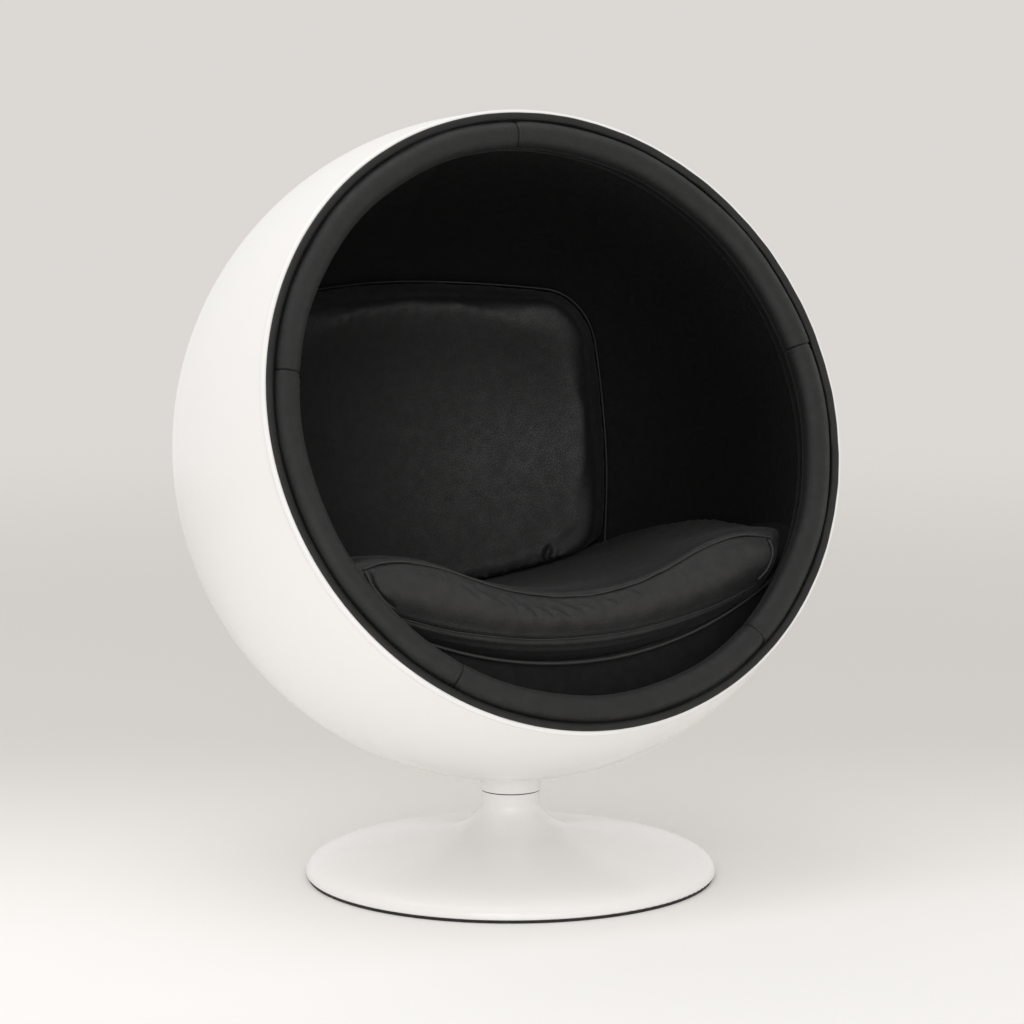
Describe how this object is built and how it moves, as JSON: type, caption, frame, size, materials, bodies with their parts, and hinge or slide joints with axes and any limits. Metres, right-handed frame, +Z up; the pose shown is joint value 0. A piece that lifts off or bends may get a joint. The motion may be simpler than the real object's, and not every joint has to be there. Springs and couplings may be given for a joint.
{
  "type": "pod chair",
  "caption": "Lounge chair: a glossy ball shell with a tilted round opening, leather lined and cushioned, that turns on a flared round pedestal.",
  "frame": {"origin": "on the floor, on the swivel axis, at the centre of the pedestal's underside", "axes": "+Z up along the swivel axis, -Y the way the opening faces, +X to the left of a person who sits in it"},
  "size_m": [1.0498, 0.8778, 1.2133],
  "materials": {
    "shell_white": "gloss",
    "foot_white": "gloss",
    "leather_black": "satin",
    "foam": "matte",
    "plywood": "matte",
    "steel": "satin",
    "bearing_steel": "polished",
    "nylon": "matte",
    "rubber": "matte",
    "felt": "matte",
    "hook_and_loop": "matte"
  },
  "bodies": {
    "base": {"pedestal": "foot_white", "edge_ring": "rubber", "ballast_plate": "steel", "ballast_screws": "steel", "floor_pad": "felt", "bearing_tube": "steel", "upper_bush": "nylon", "lower_bush": "nylon", "lower_race": "bearing_steel", "ball_cage": "nylon", "bearing_balls": "bearing_steel", "glide_ring": "nylon"},
    "ball": {"shell": "shell_white", "tacking_ring": "plywood", "rim_trim": "leather_black", "rim_roll_1": "leather_black", "rim_roll_2": "leather_black", "rim_roll_3": "leather_black", "rim_roll_4": "leather_black", "rim_roll_5": "leather_black", "lining_foam_1": "foam", "lining_foam_2": "foam", "lining_foam_3": "foam", "lining_foam_4": "foam", "lining_foam_5": "foam", "lining_cover": "leather_black", "seat_deck": "plywood", "deck_bearer_left": "plywood", "deck_bearer_right": "plywood", "seat_fascia": "leather_black", "deck_welt": "leather_black", "seat_cushion": "leather_black", "back_cushion": "leather_black", "back_strip_left": "hook_and_loop", "back_strip_right": "hook_and_loop", "mounting_block": "plywood", "spreader_plate": "steel", "flange_bolts": "steel", "bolt_washers": "steel", "collar": "foot_white", "spindle": "steel", "upper_race": "bearing_steel", "retaining_washer": "steel", "retaining_nut": "steel"}
  },
  "joints": [
    {"name": "swivel", "type": "hinge", "parent": "base", "child": "ball", "pos_m": [0, 0, 0], "axis": [0, 0, 1], "continuous": true}
  ]
}
